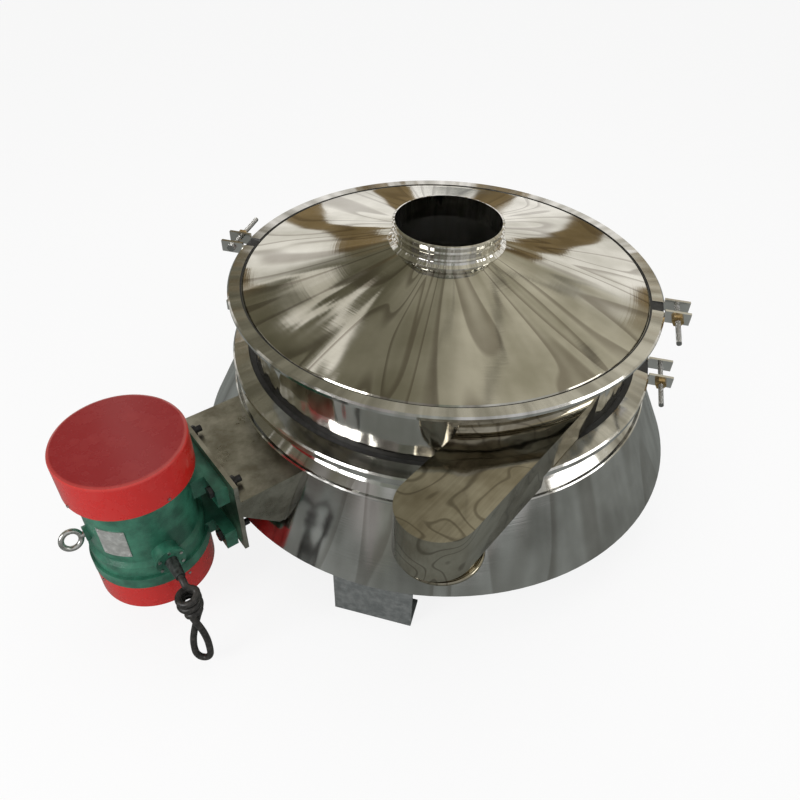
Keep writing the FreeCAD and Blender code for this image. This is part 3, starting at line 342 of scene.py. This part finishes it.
# Steels: mirror-polished sheet. Its base colour carries radial streaks, partly polishing marks that run the
# way each sheet was worked and partly painted reflection, and dark wavy painted reflection lines; a slow
# undulation bends what the sheet reflects.
def sheet_steel(name, dark, light, spin, ripple, rough=0.10, lines=0.0, swell=9.0):
    steel = Finish(name, Metallic=1.0)
    radius, out_x, out_y = steel.around()
    # Radial streaks in the base colour: partly polishing marks, partly painted reflection.
    rays = steel.noise(steel.vector(out_x * spin, out_y * spin, radius * 2.0 + steel.z * 3.0), 1.0, 3.0, 0.5)
    marks = steel.noise(steel.vector(radius * 260.0, steel.z * 260.0, out_x * 2.0), 1.0, 2.0)
    blotch = steel.noise(steel.place, 9.0, 3.0)
    shade = rays * 0.75 + blotch * 0.35
    # Dark wavy lines in the base colour: painted reflection lines.
    field = steel.noise(steel.vector(out_x * 2.6, out_y * 2.6, radius * 1.3), 1.0, 1.0, 0.5, 0.5)
    bands = (field * 9.0).math("FRACT")
    painted_reflection_lines = bands.between(0.02, 0.30) * bands.between(0.42, 0.34) * lines
    tint = steel.mix(shade.between(0.36, 0.74), dark, light)
    steel.set("Base Color", steel.mix(painted_reflection_lines, tint, (0.16, 0.13, 0.10)))
    steel.set("Roughness", marks * 0.06 + blotch * 0.05 + rough - 0.05)
    wave = steel.noise(steel.vector(out_x * swell, out_y * swell, (radius + steel.z) * swell * 0.7), 1.0, 1.0)
    steel.bump(wave + marks * 0.004, ripple)
    return steel


sheet_steel("cover steel", (0.40, 0.385, 0.32), (0.80, 0.78, 0.72), 3.0, 0.008, 0.07, 0.55, 2.6).wear(
    ["dust_cover"])
sheet_steel("drum steel", (0.46, 0.45, 0.41), (0.80, 0.79, 0.76), 6.0, 0.006).wear(["screen_drum"])
sheet_steel("skirt steel", (0.40, 0.39, 0.37), (0.76, 0.76, 0.74), 5.0, 0.012, 0.12, 0.35, 5.0).wear(
    ["base_skirt"])
sheet_steel("collar steel", (0.55, 0.54, 0.50), (0.88, 0.87, 0.84), 12.0, 0.003).wear(["inlet_collar"])
sheet_steel("clamp steel", (0.46, 0.45, 0.42), (0.82, 0.81, 0.79), 14.0, 0.003, 0.12).wear(
    ["upper_clamp_front", "upper_clamp_back", "lower_clamp_front", "lower_clamp_back"])


# Spout: the same sheet, hand polished, with marks along the channel; its browner cloudy cast is partly tint
# and partly painted reflection, and its dark wavy lines are painted reflection lines.
spout = Finish("spout steel", Metallic=1.0)
run = spout.x * 0.584 - spout.y * -0.812
cross = spout.x * 0.812 + spout.y * -0.584
drawn = spout.noise(spout.vector(run * 6.0, cross * 160.0, spout.z * 60.0), 1.0, 3.0)
cloud = spout.noise(spout.place, 7.0, 3.0, 0.6)
rings = (spout.noise(spout.place, 5.0, 1.0, 0.5, 1.0) * 9.0).math("FRACT")
# Dark wavy lines in the base colour: painted reflection lines.
painted_reflection_edge = rings.between(0.02, 0.12) * rings.between(0.30, 0.16)
# Cloudy brown cast: partly tint of the sheet, partly painted reflection.
tint = spout.mix((drawn * 0.15 + cloud * 0.85).between(0.38, 0.7), (0.27, 0.24, 0.18), (0.50, 0.47, 0.39))
spout.set("Base Color", spout.mix(painted_reflection_edge * 0.6, tint, (0.13, 0.11, 0.08)))
spout.set("Roughness", drawn * 0.04 + cloud * 0.06 + 0.04)
spout.bump(spout.noise(spout.place, 8.0, 1.0) + drawn * 0.01, 0.007)
spout.wear(["discharge_spout"])

# Plates: thicker brushed plate with dust and finger marks, and the woven mesh of the screen.
plate = Finish("satin plate", Metallic=1.0)
brushed = plate.noise(plate.vector(plate.x * 20.0, plate.y * 20.0, plate.z * 420.0), 1.0, 3.0)
dust = plate.noise(plate.place, 14.0, 5.0, 0.65)
plate.set("Base Color", plate.mix(dust.between(0.35, 0.7), (0.30, 0.28, 0.23), (0.58, 0.56, 0.49)))
plate.set("Roughness", brushed * 0.12 + dust * 0.16 + 0.16)
plate.bump(brushed, 0.0003, 0.4)
plate.wear(["motor_bracket", "motor_plate", "base_ring", "fines_hopper", "screen_ring"])
weave = Finish("woven mesh", Metallic=1.0, Roughness=0.35)
threads = (weave.x * 1800.0).math("SINE") * (weave.y * 1800.0).math("SINE")
weave.set("Base Color", weave.mix(threads.between(-0.4, 0.4), (0.10, 0.10, 0.10), (0.55, 0.55, 0.54)))
weave.bump(threads, 0.0003)
weave.wear(["screen_mesh"])


# Paints: gloss red on the covers, green hammered enamel on the castings, grey on the feet.
red = Finish("red paint", Roughness=0.30, Coat_Weight=0.35, Coat_Roughness=0.12)
dusty = red.noise(red.place, 22.0, 5.0, 0.65)
radius, out_x, out_y = red.around(motor_axis)
# A lighter red band along the cover's top outer rim, mixed with dust spots.
rim_band = radius.between(0.1275, 0.1325) * red.z.between(0.507, 0.516)
# Faces that point up are painted a darker red: painted shade on the top of the covers.
facing = make(red.tree, "ShaderNodeNewGeometry", output=1)
painted_top_shade = facing.node("ShaderNodeSeparateXYZ", facing, output=2).between(0.75, 0.98)
paint = red.mix(painted_top_shade, (0.58, 0.012, 0.010), (0.25, 0.008, 0.011))
red.set("Base Color", red.mix(rim_band * 0.3 + dusty.between(0.45, 0.9) * 0.14, paint, (0.60, 0.12, 0.10)))
red.set("Roughness", dusty * 0.22 + 0.16)
red.bump(red.noise(red.place, 210.0, 2.0), 0.0003, 0.25)
red.wear(["top_cover", "bottom_cover"])
green = Finish("green enamel", Coat_Weight=0.25, Coat_Roughness=0.2)
hammer = green.noise(green.place, 260.0, 2.0, 0.5, 0.6)
grime = green.noise(green.place, 17.0, 4.0, 0.6)
tone = grime.between(0.32, 0.72)
green.set("Base Color", green.mix(tone, (0.012, 0.085, 0.052), (0.045, 0.215, 0.135)))
green.set("Roughness", hammer * 0.2 + grime * 0.15 + 0.18)
green.bump(hammer, 0.0008, 0.7)
green.wear(["motor_frame", "gland_cover"])
grey = Finish("grey paint", Roughness=0.6)
rough_coat = grey.noise(grey.place, 60.0, 5.0, 0.6)
grey.set("Base Color", grey.mix(rough_coat.between(0.3, 0.75), (0.105, 0.115, 0.113), (0.19, 0.20, 0.195)))
grey.set("Roughness", rough_coat * 0.3 + 0.42)
grey.bump(rough_coat, 0.0005, 0.5)
grey.wear(["support_rail", "foot_front", "foot_right", "foot_back", "foot_left"])


# Small metal: zinc-plated and black fasteners, brass clamp nuts and the motor's inner parts.
def small_metal(name, dark, light, rough, nodes, metal=1.0, scale=120.0):
    metal_piece = Finish(name, Metallic=metal)
    spots = metal_piece.noise(metal_piece.place, scale, 4.0, 0.6)
    metal_piece.set("Base Color", metal_piece.mix(spots.between(0.3, 0.75), dark, light))
    metal_piece.set("Roughness", spots * 0.25 + rough)
    metal_piece.bump(spots, 0.0003, 0.4)
    metal_piece.wear(nodes)
    return metal_piece


small_metal("zinc", (0.42, 0.42, 0.40), (0.78, 0.78, 0.76), 0.12, [
    "lower_buffer_studs", "lower_buffer_nuts", "upper_buffer_studs", "upper_buffer_nuts", "cover_screws",
    "eye_bolt"])
small_metal("brass", (0.34, 0.22, 0.09), (0.72, 0.54, 0.28), 0.18, [
    "upper_nut_back", "upper_nut_front", "lower_nut_back", "lower_nut_front"])
small_metal("black oxide", (0.008, 0.008, 0.008), (0.035, 0.035, 0.037), 0.28, [
    "motor_bolts", "motor_nuts", "motor_washers"], metal=0.4)
small_metal("machined iron", (0.20, 0.20, 0.20), (0.42, 0.42, 0.41), 0.25, [
    "top_end_shield", "bottom_end_shield", "fixed_weights", "upper_turning_weight", "lower_turning_weight"])
small_metal("core steel", (0.26, 0.26, 0.28), (0.50, 0.50, 0.52), 0.25, [
    "stator_core", "rotor_core", "rotor_shaft"])
small_metal("copper windings", (0.42, 0.17, 0.06), (0.78, 0.42, 0.22), 0.22, ["stator_windings"])
small_metal("bearing steel", (0.55, 0.55, 0.56), (0.80, 0.80, 0.81), 0.08, [
    "bearing_outer_races", "bearing_inner_races", "bearing_rollers"])
small_metal("black plastic", (0.010, 0.012, 0.011), (0.05, 0.06, 0.055), 0.30, ["cable_gland"], metal=0.0)
small_metal("seal rubber", (0.008, 0.008, 0.008), (0.03, 0.03, 0.03), 0.4, [
    "rubber_buffers", "screen_seal", "cover_seal"], metal=0.0)

# Clamp bolts: zinc with a thread cut along the shank, which lies across the parting line.
thread = Finish("threaded zinc", Metallic=1.0, Roughness=0.24)
parting = math.radians(-11.5)
along = thread.y * math.cos(parting) - thread.x * math.sin(parting)
turns = (along * (2 * math.pi / 0.00175)).math("SINE")
thread.set("Base Color", thread.mix(turns.between(-0.6, 0.6), (0.34, 0.34, 0.33), (0.80, 0.80, 0.78)))
thread.bump(turns, 0.0006)
thread.wear(["upper_bolt_back", "upper_bolt_front", "lower_bolt_back", "lower_bolt_front"])


# Nameplate: a bare sheet bent around the motor's wall and held by four rivets.
plate_reach = 0.1185
plate_thick = 0.0012
plate_from, plate_to = math.radians(-112), math.radians(-82)
plate_low, plate_high = 0.285, 0.365
plate_shape = bmesh.new()
columns = 12
rings = []
for reach in (plate_reach - plate_thick, plate_reach):
    for height in (plate_low, plate_high):
        ring = []
        for step in range(columns + 1):
            turn = plate_from + (plate_to - plate_from) * step / columns
            spot = (motor_axis[0] + reach * math.cos(turn), motor_axis[1] + reach * math.sin(turn), height)
            ring.append(plate_shape.verts.new(spot))
        rings.append(ring)
back_low, back_high, face_low, face_high = rings
for step in range(columns):
    sides = ((face_low, face_high), (face_high, back_high), (back_high, back_low), (back_low, face_low))
    for first, second in sides:
        plate_shape.faces.new((first[step], first[step + 1], second[step + 1], second[step]))
for end in (0, columns):
    plate_shape.faces.new((back_low[end], back_high[end], face_high[end], face_low[end]))
for across in (0.07, 0.93):
    for rise in (0.07, 0.93):
        turn = plate_from + (plate_to - plate_from) * across
        out = Vector((math.cos(turn), math.sin(turn), 0))
        spot = Vector((*motor_axis, plate_low + (plate_high - plate_low) * rise)) + out * plate_reach
        turned = out.to_track_quat("Z", "Y").to_matrix().to_4x4()
        squat = Matrix.Diagonal((1, 1, 0.5, 1))
        bmesh.ops.create_uvsphere(plate_shape, u_segments=12, v_segments=8, radius=0.0028,
                                  matrix=Matrix.Translation(spot) @ turned @ squat)
bmesh.ops.recalc_face_normals(plate_shape, faces=plate_shape.faces)
plate_mesh = bpy.data.meshes.new("nameplate")
plate_shape.to_mesh(plate_mesh)
plate_shape.free()
nameplate = bpy.data.objects.new("bare_nameplate", plate_mesh)
bpy.context.scene.collection.objects.link(nameplate)
tin = Finish("plate tin", Metallic=0.7)
stain = tin.noise(tin.place, 55.0, 4.0, 0.6)
tin.set("Base Color", tin.mix(stain.between(0.35, 0.75), (0.52, 0.52, 0.50), (0.80, 0.80, 0.78)))
tin.set("Roughness", stain * 0.25 + 0.25)
plate_mesh.materials.append(tin.material)
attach(nameplate, "sieve")

# Edges: the turned and bent faces of the frame are shaded smooth up to a sharp edge.
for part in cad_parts.values():
    part.data.shade_smooth()
    part.data.set_sharp_from_angle(angle=math.radians(28))

size = {"cad": cad_box, "visual": [list(corner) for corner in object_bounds()]}
